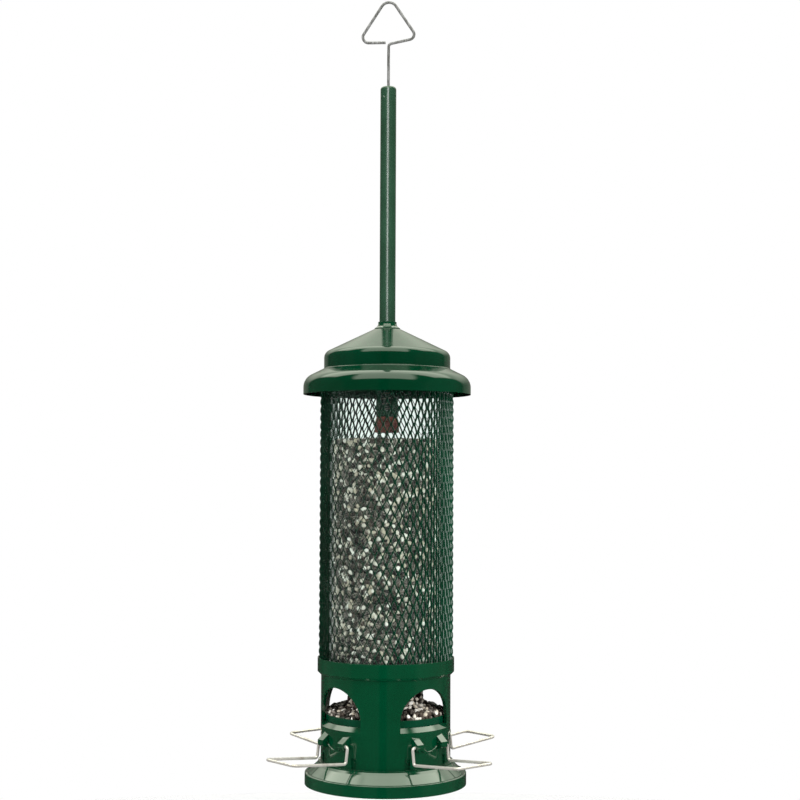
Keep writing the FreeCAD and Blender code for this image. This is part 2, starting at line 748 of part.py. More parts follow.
def cut_notches(body):
    """Two small recesses low on the wall by each port's perch legs."""
    for side, sign in (("left", 1), ("right", -1)):
        angle = f"({sign} * notch_angle)"
        notch = body.newObject("PartDesign::SubtractiveBox", f"notch_{side}")
        notch.Placement = FreeCAD.Placement(FreeCAD.Vector(), FreeCAD.Rotation(UP, worked_out(angle)))
        bind(notch, Length="housing_radius - notch_floor_radius + cut_overrun")
        bind(notch, Width="notch_width", Height="notch_bottom_depth - notch_top_depth")
        bind(notch, Placement__Base__z="-notch_bottom_depth")
        bind(notch, Placement__Base__x=f"notch_floor_radius * cos{angle} + notch_width / 2 * sin{angle}")
        bind(notch, Placement__Base__y=f"notch_floor_radius * sin{angle} - notch_width / 2 * cos{angle}")
        polar(body, f"notches_{side}", [notch], PORTS)


def rod_on_circle(body, name, kind, radius, foot, height, circle, angle="port_angle"):
    """An upright rod at an angle on a circle round the Z axis, added or cut."""
    return rod(body, name, kind, radius, foot, height,
               x=f"{circle} * cos({angle})", y=f"{circle} * sin({angle})")


def port_housing():
    """The moulded wall under the cage. It is drawn with a port along +X."""
    body = turned("port_housing", [
        ("housing_inner_radius", "-spigot_top_depth"),
        ("spigot_radius", "-spigot_top_depth"),
        ("spigot_radius", "-base_ring_bottom_depth"),
        ("housing_radius", "-base_ring_bottom_depth"),
        ("housing_radius", "-housing_bottom_depth"),
        ("housing_inner_radius", "-housing_bottom_depth"),
    ])
    cut_ports(body)
    add_sockets(body)
    cut_notches(body)
    hole = rod_on_circle(body, "housing_screw_hole", "Subtractive", "tray_screw_hole_radius",
                         "-housing_bottom_depth - cut_overrun",
                         "housing_bottom_depth - tray_screw_tip_depth + 2 * cut_overrun",
                         "tray_screw_circle_radius")
    polar(body, "housing_screw_holes", [hole], PORTS)
    return turned_to_ports(body)


def tray():
    """The flared tray: a deep rim, a gutter inside it, drain slots and a floor under the housing."""
    gutter_floor = "-tray_gutter_depth - tray_gutter_drop"
    body = turned("tray", [
        ("0", "-tray_floor_top_depth"),
        ("tray_collar_inner_radius", "-tray_floor_top_depth"),
        ("tray_collar_inner_radius", "-tray_collar_top_depth"),
        ("tray_collar_radius", "-tray_collar_top_depth"),
        ("tray_collar_radius", "-tray_skirt_top_depth"),
        ("tray_waist_radius", "-tray_waist_depth", "tray_gutter_width"),
        ("tray_gutter_radius", "-tray_gutter_depth"),
        ("tray_gutter_radius + tray_gutter_width / 4", gutter_floor),
        ("tray_gutter_radius + tray_gutter_width", gutter_floor),
        ("tray_gutter_radius + tray_gutter_width * 5 / 4", "-tray_gutter_depth"),
        ("tray_rim_radius", "-tray_rim_top_depth", "tray_rim_bend"),
        ("tray_rim_radius", "-tray_bottom_depth"),
        ("tray_rim_inner_radius", "-tray_bottom_depth"),
        ("tray_rim_inner_radius", "-tray_haunch_depth"),
        ("tray_haunch_radius", "-tray_floor_bottom_depth"),
        ("0", "-tray_floor_bottom_depth"),
    ])
    slot = block(body, "drain_slot", "Subtractive",
                 ("drain_slot_inner_radius", "-drain_slot_width / 2",
                  "-tray_floor_bottom_depth - cut_overrun"),
                 ("drain_slot_outer_radius - drain_slot_inner_radius", "drain_slot_width",
                  "tray_floor_bottom_depth - tray_floor_top_depth + 2 * cut_overrun"))
    polar(body, "drain_slot_set", [slot], int(worked_out("drain_slots")))
    hole = rod_on_circle(body, "tray_screw_hole", "Subtractive", "tray_screw_clear_radius",
                         "-tray_floor_bottom_depth - cut_overrun",
                         "tray_floor_bottom_depth - tray_floor_top_depth + 2 * cut_overrun",
                         "tray_screw_circle_radius")
    polar(body, "tray_screw_holes", [hole], PORTS)
    cut_tray_grooves(body)
    return turned_to_ports(body)


def cut_tray_grooves(body):
    """Eight shallow drain grooves down the skirt, in line with the housing's recesses."""
    run = worked_out("tray_gutter_radius - tray_waist_radius")
    fall = worked_out("tray_gutter_depth - tray_waist_depth")
    down_slope = FreeCAD.Rotation(FreeCAD.Vector(0, 1, 0), math.degrees(math.atan2(fall, run)))
    for side, sign in (("left", 1), ("right", -1)):
        angle = f"({sign} * notch_angle)"
        across = FreeCAD.Rotation(UP, worked_out(angle))
        cut = body.newObject("PartDesign::SubtractiveBox", f"skirt_groove_{side}")
        cut.Placement = FreeCAD.Placement(FreeCAD.Vector(), across * down_slope)
        bind(cut, Length="(tray_gutter_radius - tray_waist_radius) * 3 / 2", Width="tray_groove_width",
             Height="4 * tray_groove_sink")
        start = "(tray_waist_radius - tray_groove_sink)"
        bind(cut, Placement__Base__z="-tray_waist_depth")
        bind(cut, Placement__Base__x=f"{start} * cos{angle} + tray_groove_width / 2 * sin{angle}")
        bind(cut, Placement__Base__y=f"{start} * sin{angle} - tray_groove_width / 2 * cos{angle}")
        polar(body, f"skirt_grooves_{side}", [cut], PORTS)


def screws(name, floor_depth, places, count):
    """Screws put in from below, each a shank and a head, at places (x, y) that repeat round the Z axis."""
    label = f"{name}s"
    body = new_body(label)
    body.AllowCompound = True
    parts = []
    for number, (x, y) in enumerate(places, start=1):
        parts.append(rod(body, f"{name}_shank_{number}", "Additive", f"{name}_radius", f"-{floor_depth}",
                         f"{floor_depth} - {name}_tip_depth", x=x, y=y))
        parts.append(rod(body, f"{name}_head_{number}", "Additive", f"{name}_head_radius",
                         f"-{floor_depth} - {name}_head_height", f"{name}_head_height", x=x, y=y))
    polar(body, f"{label}_set", parts, count)
    return body


def shroud():
    tray_screws = screws("tray_screw", "tray_floor_bottom_depth", [("tray_screw_circle_radius", "0")], PORTS)
    return [spider(), rivets(), *cage(), port_housing(), tray(), tray_screws]


# Perches

def bent_wire(points, bends, radius):
    """A round wire swept along straight runs through points, with a tangent arc at each inner point."""
    edges = []
    start = points[0]
    for before, corner, after, bend in zip(points, points[1:], points[2:], bends):
        back = (before - corner).normalize()
        ahead = (after - corner).normalize()
        half = back.getAngle(ahead) / 2
        reach = bend / math.tan(half)
        middle = corner + (back + ahead).normalize() * (bend / math.sin(half) - bend)
        edges.append(Part.LineSegment(start, corner + back * reach).toShape())
        edges.append(Part.Arc(corner + back * reach, middle, corner + ahead * reach).toShape())
        start = corner + ahead * reach
    edges.append(Part.LineSegment(start, points[-1]).toShape())
    section = Part.Wire(Part.Circle(points[0], points[1] - points[0], radius).toShape())
    return Part.Wire(edges).makePipeShell([section], True, False)


def perch(label, angle):
    """One perch, drawn for a port along +X: tips in the sockets, legs down, a long loop out to its bar."""
    half = [
        ("perch_axis_radius", "perch_tip_offset", "perch_axis_depth"),
        ("perch_axis_radius", "perch_leg_offset", "perch_axis_depth"),
        ("perch_leg_foot_radius", "perch_leg_offset", "perch_leg_foot_depth"),
        ("perch_bar_radius", "perch_leg_offset", "perch_bar_depth"),
    ]
    right = [FreeCAD.Vector(worked_out(x), -worked_out(y), -worked_out(z)) for x, y, z in half]
    left = [FreeCAD.Vector(p.x, -p.y, p.z) for p in reversed(right)]
    leg = worked_out("perch_leg_bend")
    corner = worked_out("perch_corner_bend")
    wire = doc.addObject("Part::Feature", label)
    wire.Label = label
    wire.Shape = bent_wire(right + left, [leg, leg, corner, corner, leg, leg], worked_out("wire_radius"))
    wire.Placement = FreeCAD.Placement(FreeCAD.Vector(), FreeCAD.Rotation(UP, angle))
    return wire


def perches():
    places = ("back_right", "back_left", "front_left", "front_right")
    first = worked_out("port_angle")
    return [perch(f"perch_{place}", first + i * FULL_TURN / PORTS) for i, place in enumerate(places)]


# Seed column

def bridge():
    """Green sleeve round the spring, open at the front and back, with two arms clipped to the seed tube."""
    body = new_body("seed_tube_bridge")
    block(body, "bridge_arms", "Additive",
          ("-bridge_clip_inner_radius - cut_overrun", "-bridge_arm_width / 2", "-bridge_arm_bottom_depth"),
          ("2 * (bridge_clip_inner_radius + cut_overrun)", "bridge_arm_width",
           "bridge_arm_bottom_depth - bridge_top_depth"))
    turn(body, "bridge_sleeve", [
        ("0", "-bridge_top_depth"),
        ("sleeve_radius", "-bridge_top_depth"),
        ("sleeve_radius", "-spring_seat_bottom_depth"),
        ("0", "-spring_seat_bottom_depth"),
    ])
    outline = new_sketch(body, "clip_outline")
    draw(outline, [
        ("bridge_clip_inner_radius", "-bridge_top_depth"),
        ("bridge_clip_outer_radius", "-bridge_top_depth"),
        ("bridge_clip_outer_radius", "-bridge_clip_bottom_depth"),
        ("bridge_clip_inner_radius", "-bridge_clip_bottom_depth"),
    ])
    clip = body.newObject("PartDesign::Revolution", "clip")
    clip.Profile = outline
    clip.ReferenceAxis = (outline, ["V_Axis"])
    clip.Midplane = True
    bind(clip, Angle="2 * asin(bridge_arm_width / 2 / bridge_clip_outer_radius)")
    polar(body, "clips", [clip], 2)
    groove(body, "bridge_bore", [
        ("0", "-bridge_top_depth + cut_overrun"),
        ("sleeve_bore_radius", "-bridge_top_depth + cut_overrun"),
        ("sleeve_bore_radius", "-spring_seat_top_depth"),
        ("spring_seat_bore_radius", "-spring_seat_top_depth"),
        ("spring_seat_bore_radius", "-spring_seat_bottom_depth - cut_overrun"),
        ("0", "-spring_seat_bottom_depth - cut_overrun"),
    ])
    block(body, "sleeve_windows", "Subtractive",
          ("-sleeve_window_width / 2", "-sleeve_radius - cut_overrun", "-sleeve_window_bottom_depth"),
          ("sleeve_window_width", "2 * (sleeve_radius + cut_overrun)",
           "sleeve_window_bottom_depth - sleeve_window_top_depth"))
    hole = rod(body, "clip_hole", "Subtractive", "bridge_screw_hole_radius", "-bridge_screw_depth",
               "seed_tube_radius", x="bridge_clip_inner_radius - cut_overrun", direction=OUT)
    polar(body, "clip_holes", [hole], 2)
    return body


def seed_tube():
    """The clear tube, with a hole each side for the bridge's screws."""
    body = turned("seed_tube", [
        ("seed_tube_bore_radius", "-seed_tube_top_depth"),
        ("seed_tube_radius", "-seed_tube_top_depth"),
        ("seed_tube_radius", "-seed_tube_bottom_depth"),
        ("seed_tube_bore_radius", "-seed_tube_bottom_depth"),
    ])
    hole = rod(body, "tube_hole", "Subtractive", "bridge_screw_hole_radius", "-bridge_screw_depth",
               "seed_tube_radius", x="bridge_clip_outer_radius", direction=OUT)
    polar(body, "tube_holes", [hole], 2)
    return body


def bridge_screws():
    """One screw each side, its head outside the seed tube."""
    body = new_body("bridge_screws")
    body.AllowCompound = True
    axis = "-bridge_screw_depth"
    seat = "seed_tube_radius + seat_gap"
    outline = new_sketch(body, "bridge_screw_outline")
    draw(outline, [
        ("bridge_clip_inner_radius", axis),
        ("bridge_clip_inner_radius", f"{axis} + bridge_screw_radius"),
        (seat, f"{axis} + bridge_screw_radius"),
        (seat, f"{axis} + bridge_screw_head_radius"),
        (f"{seat} + bridge_screw_head_height", f"{axis} + bridge_screw_head_radius"),
        (f"{seat} + bridge_screw_head_height", axis),
    ])
    screw = body.newObject("PartDesign::Revolution", "bridge_screw")
    screw.Profile = outline
    screw.ReferenceAxis = (outline, ["Edge6"])
    screw.Angle = FULL_TURN
    polar(body, "bridge_screw_set", [screw], 2)
    return body


def funnel():
    """Collar round the seed tube's foot, a cone that narrows to the outlet, and two pillars to the dish."""
    slope = "(funnel_cone_radius - funnel_outlet_radius) / (funnel_outlet_depth - funnel_cone_top_depth)"
    cone_foot = "(funnel_cone_top_depth + funnel_cone_skin)"
    body = turned("seed_funnel", [
        ("funnel_cone_radius", "-funnel_cone_top_depth"),
        ("funnel_outlet_radius", "-funnel_outlet_depth"),
        ("funnel_outlet_radius", "-funnel_lip_depth"),
        (f"funnel_cone_radius - {slope} * (funnel_web_bottom_depth - {cone_foot})",
         "-funnel_web_bottom_depth"),
        ("funnel_collar_radius", "-funnel_web_bottom_depth"),
        ("funnel_collar_radius", "-funnel_collar_top_depth"),
        ("funnel_collar_inner_radius", "-funnel_collar_top_depth"),
        ("funnel_collar_inner_radius", "-funnel_web_top_depth"),
        (f"funnel_cone_radius - {slope} * (funnel_web_top_depth - {cone_foot})",
         "-funnel_web_top_depth"),
        ("funnel_cone_radius", f"-{cone_foot}"),
    ])
    pillar = block(body, "pillar", "Additive",
                   ("-pillar_width / 2", "pillar_inner_radius", "-dish_floor_depth + seat_gap"),
                   ("pillar_width", "pillar_outer_radius - pillar_inner_radius",
                    "dish_floor_depth - funnel_web_bottom_depth + cut_overrun"))
    polar(body, "pillars", [pillar], 2)
    holes = [
        rod(body, f"pillar_hole_{side}", "Subtractive", "dish_screw_radius + seat_gap",
            "-dish_floor_depth - cut_overrun", "dish_floor_depth - dish_screw_tip_depth + 2 * cut_overrun",
            x=f"{sign} * dish_screw_spread", y="dish_screw_row_radius")
        for side, sign in SIDES
    ]
    polar(body, "pillar_holes", holes, 2)
    return body


def dish():
    """The dish under the outlet, with a cone that sends seed outward, drain holes and screw holes."""
    body = turned("seed_dish", [
        ("0", "-dish_cone_top_depth"),
        ("dish_cone_radius", "-dish_floor_depth"),
        ("dish_wall_radius", "-dish_floor_depth", "dish_inner_bend"),
        ("dish_wall_radius", "-dish_lip_depth"),
        ("dish_radius", "-dish_lip_depth"),
        ("dish_radius", "-dish_bottom_depth", "dish_outer_bend"),
        ("dish_cone_radius", "-dish_bottom_depth"),
        ("0", "-dish_cone_top_depth - dish_cone_skin"),
    ])
    through = "dish_bottom_depth - dish_floor_depth + 2 * cut_overrun"
    drain = rod_on_circle(body, "dish_drain", "Subtractive", "dish_drain_radius",
                          "-dish_bottom_depth - cut_overrun", through, "dish_drain_circle_radius",
                          "port_angle / 2")
    polar(body, "dish_drains", [drain], 2 * PORTS)
    holes = [
        rod(body, f"dish_screw_hole_{side}", "Subtractive", "dish_screw_clear_radius",
            "-dish_bottom_depth - cut_overrun", through,
            x=f"{sign} * dish_screw_spread", y="dish_screw_row_radius")
        for side, sign in SIDES
    ]
    polar(body, "dish_screw_holes", holes, 2)
    return body


def closing_spring():
    """The coil between the spider's neck and the seat in the sleeve."""
    body = new_body("closing_spring")
    section = new_sketch(body, "spring_section")
    draw_circle(section, "spring_mean_radius", "-spring_seat_top_depth + spring_wire_radius",
                "spring_wire_radius")
    coil = body.newObject("PartDesign::AdditiveHelix", "coil")
    coil.Profile = section
    coil.ReferenceAxis = (section, ["V_Axis"])
    coil.Mode = "height-turns-angle"
    coil.Angle = 0
    bind(coil, Turns="spring_turns")
    bind(coil, Height="spring_seat_top_depth - spring_top_depth - 2 * spring_wire_radius")
    return body


def seed_column():
    places = [(f"{sign} * dish_screw_spread", "dish_screw_row_radius") for _, sign in SIDES]
    dish_screws = screws("dish_screw", "dish_bottom_depth", places, 2)
    return [bridge(), seed_tube(), bridge_screws(), funnel(), dish(), dish_screws, closing_spring()]


def adjusting_nut():
    """The knob that runs on the tube's lower end, carries the seed column and sets the spring."""
    body = turned("adjusting_nut", [
        ("nut_bore_radius", "-nut_top_depth"),
        ("nut_top_radius", "-nut_top_depth"),
        ("nut_radius", "-nut_shoulder_depth"),
        ("nut_radius", "-nut_bottom_depth", "nut_edge_bend"),
        ("nut_bore_radius", "-nut_bottom_depth"),
    ])
    grip = rod(body, "nut_grip", "Subtractive", "nut_grip_radius", "-nut_bottom_depth - cut_overrun",
               "nut_bottom_depth - nut_shoulder_depth", x="nut_radius + nut_grip_radius / 2")
    polar(body, "nut_grips", [grip], int(worked_out("nut_grips")))
    return body


NODES = [*hanger(), *tube(), *roof(), *shroud(), *perches(), *seed_column(), adjusting_nut()]
doc.recompute()

CUTS = ("PartDesign::Pocket", "PartDesign::Groove", "PartDesign::Subtractive")
for item in doc.Objects:
    if {"Invalid", "Error"} & set(item.State):
        raise RuntimeError(f"{item.Label} failed: {item.State} {item.getStatusString()}")
    if item.TypeId.startswith(CUTS) and item.Shape.Volume >= item.BaseFeature.Shape.Volume - LEAST_CUT:
        raise RuntimeError(f"{item.Label} cut nothing away")
os.makedirs("parts", exist_ok=True)
for node in NODES:
    if node.Shape.isNull() or not node.Shape.isValid():
        raise RuntimeError(f"{node.Label} has no valid shape")
    box = node.Shape.BoundBox
    print(f"{node.Label:20s} {len(node.Shape.Solids)} solids {node.Shape.Volume:10.1f} mm3"
          f"  x {box.XMin:7.2f} {box.XMax:7.2f}  z {box.ZMin:8.2f} {box.ZMax:8.2f}")
    node.Shape.exportStep(f"parts/{node.Label}.step")
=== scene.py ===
import json
import math

import bpy
import numpy as np
from mathutils import Matrix, Vector


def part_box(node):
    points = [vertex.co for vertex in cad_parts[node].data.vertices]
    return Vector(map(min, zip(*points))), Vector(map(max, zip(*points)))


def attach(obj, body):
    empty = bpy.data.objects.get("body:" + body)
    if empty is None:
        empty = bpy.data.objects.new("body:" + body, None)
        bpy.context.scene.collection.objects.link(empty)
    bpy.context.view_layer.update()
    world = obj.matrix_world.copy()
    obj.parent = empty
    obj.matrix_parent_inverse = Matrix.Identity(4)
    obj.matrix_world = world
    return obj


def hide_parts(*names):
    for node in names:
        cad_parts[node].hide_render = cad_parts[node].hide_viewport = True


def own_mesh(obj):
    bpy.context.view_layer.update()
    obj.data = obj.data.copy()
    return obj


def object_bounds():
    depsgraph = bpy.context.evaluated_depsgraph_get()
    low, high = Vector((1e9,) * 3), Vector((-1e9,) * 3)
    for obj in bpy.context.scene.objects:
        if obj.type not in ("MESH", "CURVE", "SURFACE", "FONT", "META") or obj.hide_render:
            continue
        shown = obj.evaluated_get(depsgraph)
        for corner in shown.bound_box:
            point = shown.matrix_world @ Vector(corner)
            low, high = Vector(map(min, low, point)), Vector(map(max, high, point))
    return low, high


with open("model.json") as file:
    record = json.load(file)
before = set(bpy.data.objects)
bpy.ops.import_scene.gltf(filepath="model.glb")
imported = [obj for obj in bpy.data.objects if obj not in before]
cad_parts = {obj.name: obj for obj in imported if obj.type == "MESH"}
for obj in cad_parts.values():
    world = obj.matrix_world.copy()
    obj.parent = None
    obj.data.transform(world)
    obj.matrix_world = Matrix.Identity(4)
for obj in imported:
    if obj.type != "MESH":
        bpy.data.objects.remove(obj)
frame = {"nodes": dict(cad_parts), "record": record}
cad_low, cad_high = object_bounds()
MM = 0.001
nodes = frame["nodes"]
rng = np.random.default_rng(7)


# Node materials

class Shader:
    """A node material being built: its tree, its Principled shader, and coordinates in the row frame."""

    def __init__(self, name):
        self.material = bpy.data.materials.new(name)
        self.material.use_nodes = True
        self.tree = self.material.node_tree
        self.principled = self.tree.nodes["Principled BSDF"]
        self.output = self.tree.nodes["Material Output"]
        self.place = self.add("ShaderNodeTexCoord").outputs["Object"]

    def add(self, kind, inputs=None, **settings):
        node = self.tree.nodes.new(kind)
        for key, value in settings.items():
            setattr(node, key, value)
        for key, value in (inputs or {}).items():
            self.put(node.inputs[key], value)
        return node

    def put(self, socket, value):
        if isinstance(value, bpy.types.NodeSocket):
            self.tree.links.new(value, socket)
        else:
            socket.default_value = value

    def set(self, **inputs):
        """Sets the shader's own sockets: words of a socket's name are joined by underscores."""
        for key, value in inputs.items():
            self.put(self.principled.inputs[key.replace("_", " ")], value)

    def math(self, operation, *values, clamp=False):
        node = self.add("ShaderNodeMath", operation=operation, use_clamp=clamp)
        for socket, value in zip(node.inputs, values):
            self.put(socket, value)
        return node.outputs[0]

    def noise(self, scale, detail=3.0, stretch=None, roughness=0.55):
        vector = self.place
        if stretch is not None:
            vector = self.add("ShaderNodeMapping", {"Vector": self.place, "Scale": stretch}).outputs[0]
        node = self.add("ShaderNodeTexNoise", {"Vector": vector, "Scale": scale, "Detail": detail,
                                               "Roughness": roughness})
        return node.outputs["Fac"]

    def ranged(self, value, low, high, to_low=0.0, to_high=1.0):
        node = self.add("ShaderNodeMapRange", {"Value": value, "From Min": low, "From Max": high,
                                               "To Min": to_low, "To Max": to_high})
        return node.outputs["Result"]

    def mixed(self, factor, first, second):
        node = self.add("ShaderNodeMix", data_type="RGBA")
        self.put(node.inputs[0], factor)
        self.put(node.inputs[6], first)
        self.put(node.inputs[7], second)
        return node.outputs[2]

    def bump(self, height, strength, distance, normal=None):
        inputs = {"Height": height, "Strength": strength, "Distance": distance}
        if normal is not None:
            inputs["Normal"] = normal
        return self.add("ShaderNodeBump", inputs).outputs["Normal"]

    def facing_up(self, low, high):
        normal = self.add("ShaderNodeNewGeometry").outputs["Normal"]
        upward = self.add("ShaderNodeSeparateXYZ", {"Vector": normal}).outputs["Z"]
        return self.ranged(upward, low, high)


def grey(level):
    return (level, level, level, 1.0)


DUST_COLOUR = (0.32, 0.31, 0.26, 1.0)
WIRE_SHINE = 0.9
CLEAR_IOR = 1.47


def coated(name, deep, light, roughness, grain, edge=0.3 * MM, dust=0.1, **sockets):
    """Green plastic or powder coat: slow colour drift, fine orange peel, faint scuffs and settled dust."""
    s = Shader(name)
    drift = s.noise(22.0, 4.0)
    speckle = s.noise(900.0, 2.0)
    colour = s.mixed(s.ranged(drift, 0.35, 0.65), (*deep, 1.0), (*light, 1.0))
    colour = s.mixed(s.ranged(speckle, 0.55, 0.75, 0.0, 0.25), colour, (*light, 1.0))
    scuffs = s.ranged(s.noise(260.0, 6.0, (1.0, 1.0, 0.08)), 0.60, 0.78)
    settled = s.math("MULTIPLY", s.facing_up(0.75, 1.0), s.ranged(s.noise(140.0, 6.0), 0.42, 0.75))
    dusty = s.math("MULTIPLY", settled, dust)
    colour = s.mixed(dusty, colour, DUST_COLOUR)
    worn = s.math("ADD", s.math("MULTIPLY", scuffs, 0.10), s.math("MULTIPLY", settled, 0.22))
    rough = s.math("ADD", worn, s.ranged(s.noise(60.0, 3.0), 0.3, 0.7, roughness, roughness + 0.05))
    rounded = s.add("ShaderNodeBevel", {"Radius": edge}, samples=4).outputs["Normal"]
    peel = s.bump(s.noise(grain, 2.0), 0.06, 0.05 * MM, rounded)
    s.set(Base_Color=colour, Roughness=rough, Normal=peel, **sockets)
    return s.material


def steel(name, colour, roughness, streak, metallic=1.0, tarnish=(0.10, 0.08, 0.06)):
    """Wire or sheet metal with fine drawing lines and patches of tarnish."""
    s = Shader(name)
    lines = s.noise(1400.0, 3.0, streak)
    patches = s.ranged(s.noise(90.0, 5.0), 0.52, 0.74, 0.0, 0.55)
    tint = s.mixed(s.ranged(lines, 0.3, 0.7, 0.0, 0.25), (*colour, 1.0), grey(WIRE_SHINE))
    tint = s.mixed(patches, tint, (*tarnish, 1.0))
    drawn = s.ranged(lines, 0.3, 0.7, roughness, roughness + 0.12)
    rough = s.math("ADD", drawn, s.math("MULTIPLY", patches, 0.3))
    s.set(Base_Color=tint, Roughness=rough, Metallic=metallic, Normal=s.bump(lines, 0.15, 0.03 * MM))
    return s.material


def clear_plastic():
    """Thin clear wall: it lets light straight through and mirrors by angle, with faint rubbed haze."""
    s = Shader("clear_plastic")
    outside = s.math("SUBTRACT", 1.0, s.add("ShaderNodeNewGeometry").outputs["Backfacing"])
    fresnel = s.math("MULTIPLY", s.add("ShaderNodeFresnel", {"IOR": CLEAR_IOR}).outputs[0], outside)
    haze = s.ranged(s.noise(45.0, 6.0, (1.0, 1.0, 0.35)), 0.5, 0.8, 0.0, 0.02)
    share = s.math("ADD", s.math("MULTIPLY", fresnel, 0.7), haze, clamp=True)
    rubbed = s.ranged(s.noise(80.0, 4.0), 0.3, 0.7, 0.04, 0.12)
    s.set(Base_Color=(0.80, 0.88, 0.84, 1.0), Roughness=rubbed, IOR=CLEAR_IOR)
    see_through = s.add("ShaderNodeBsdfTransparent", {"Color": (0.96, 0.985, 0.975, 1.0)})
    mix = s.add("ShaderNodeMixShader")
    s.put(mix.inputs[0], share)
    s.put(mix.inputs[1], see_through.outputs[0])
    s.put(mix.inputs[2], s.principled.outputs[0])
    s.put(s.output.inputs["Surface"], mix.outputs[0])
    return s.material


def seed_material(name, dark, light, stripe, roughness):
    """Seed hulls: each seed has its own tone, and stripes run from end to end where the mesh says so."""
    s = Shader(name)
    tone = s.add("ShaderNodeAttribute", attribute_name="tone").outputs["Fac"]
    band = s.add("ShaderNodeAttribute", attribute_name="band").outputs["Fac"]
    colour = s.mixed(tone, (*dark, 1.0), (*light, 1.0))
    colour = s.mixed(s.math("MULTIPLY", band, 0.75), colour, (*stripe, 1.0))
    mottle = s.noise(700.0, 4.0)
    colour = s.mixed(s.ranged(mottle, 0.5, 0.75, 0.0, 0.35), colour, (*dark, 1.0))
    s.set(Base_Color=colour, Roughness=s.ranged(mottle, 0.3, 0.7, roughness, roughness + 0.2),
          Normal=s.bump(mottle, 0.3, 0.15 * MM))
    return s.material


def nut_plastic():
    """Moulded red plastic with a mottled tone, a little translucent."""
    s = Shader("nut_plastic")
    drift = s.noise(260.0, 5.0)
    mottled = s.mixed(s.ranged(drift, 0.38, 0.62), (0.075, 0.010, 0.006, 1.0), (0.22, 0.042, 0.024, 1.0))
    s.set(Base_Color=mottled, Roughness=s.ranged(drift, 0.3, 0.7, 0.25, 0.4), Subsurface_Weight=0.15,
          Normal=s.bump(s.noise(800.0), 0.15, 0.05 * MM))
    s.principled.inputs["Subsurface Radius"].default_value = (3 * MM, 0.6 * MM, 0.4 * MM)
    return s.material


FINISHES = {
    "base_plastic": coated("base_plastic", (0.0, 0.030, 0.011), (0.0, 0.037, 0.014), 0.07, 1500.0,
                           IOR=1.5, Coat_Weight=0.7, Coat_Roughness=0.04),
    "inner_plastic": coated("inner_plastic", (0.0, 0.026, 0.010), (0.0, 0.036, 0.016), 0.14, 1500.0),
    "roof_paint": coated("roof_paint", (0.0, 0.019, 0.007), (0.0, 0.025, 0.010), 0.05, 1100.0,
                         dust=0.03, IOR=1.45, Coat_Weight=0.1, Coat_Roughness=0.03),
    "tube_paint": coated("tube_paint", (0.007, 0.026, 0.013), (0.010, 0.034, 0.018), 0.24, 1300.0),
    "mesh_paint": coated("mesh_paint", (0.0, 0.017, 0.007), (0.0, 0.028, 0.012), 0.22, 1800.0, dust=0.1),
    "hanger_steel": steel("hanger_steel", (0.016, 0.017, 0.011), 0.34, (1.0, 1.0, 0.1), metallic=0.0,
                          tarnish=(0.024, 0.022, 0.014)),
    "perch_steel": steel("perch_steel", (0.62, 0.59, 0.53), 0.28, (1.0, 1.0, 0.3), metallic=0.6,
                         tarnish=(0.24, 0.18, 0.13)),
    "spring_steel": steel("spring_steel", (0.34, 0.25, 0.16), 0.25, (1.0, 1.0, 1.0)),
    "fittings": steel("fittings", (0.55, 0.55, 0.54), 0.28, (1.0, 1.0, 0.2)),
    "washer_brass": steel("washer_brass", (0.70, 0.50, 0.20), 0.25, (1.0, 1.0, 0.2),
                          tarnish=(0.22, 0.13, 0.05)),
    "clear_plastic": clear_plastic(),
    "nut_plastic": nut_plastic(),
    "seed_dark": seed_material("seed_dark", dark=(0.006, 0.005, 0.004), light=(0.085, 0.064, 0.050),
                               stripe=(0.36, 0.32, 0.28), roughness=0.35),
    "seed_pale": seed_material("seed_pale", dark=(0.50, 0.44, 0.34), light=(0.94, 0.93, 0.86),
                               stripe=(0.94, 0.93, 0.88), roughness=0.4),
}


def paint_frame():
    """Every CAD node that stays takes the finish of its slot."""
    for part in frame["record"]["subparts"]:
        mesh = nodes[part["node"]].data
        mesh.materials.clear()
        mesh.materials.append(FINISHES[part["material_slot"]])


def new_piece(name, points, faces, slot, body, smooth=True):
    """A mesh piece of the given slot's finish that rides on a body."""
    mesh = bpy.data.meshes.new(name)
    mesh.from_pydata(np.asarray(points).tolist(), [], faces)
    mesh.polygons.foreach_set("use_smooth", [smooth] * len(mesh.polygons))
    mesh.materials.append(FINISHES[slot])
    mesh.update()
    piece = bpy.data.objects.new(name, mesh)
    bpy.context.scene.collection.objects.link(piece)
    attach(piece, body)
    return piece


# Cage: expanded metal

DIAMONDS_ROUND = 54
DIAMOND_HEIGHT = 13.4 * MM
STRAND_WIDTH = 1.65 * MM
STRAND_THICKNESS = 0.45 * MM
STRAND_TILT = math.radians(58.0)
BOND_SHARE = 0.28
SECTION_CORNER = 0.6
LEAST_DROP = 1e-6


def strand_section():
    """A rounded rectangle about the strand's middle: across its face, then through its thickness."""
    half_width = STRAND_WIDTH / 2
    half_thickness = STRAND_THICKNESS / 2
    cut = half_thickness * SECTION_CORNER
    quarter = [(half_width, half_thickness - cut), (half_width - cut, half_thickness)]
    turned_over = [(-a, b) for a, b in reversed(quarter)]
    upper = quarter + turned_over
    return np.array(upper + [(-a, -b) for a, b in upper])


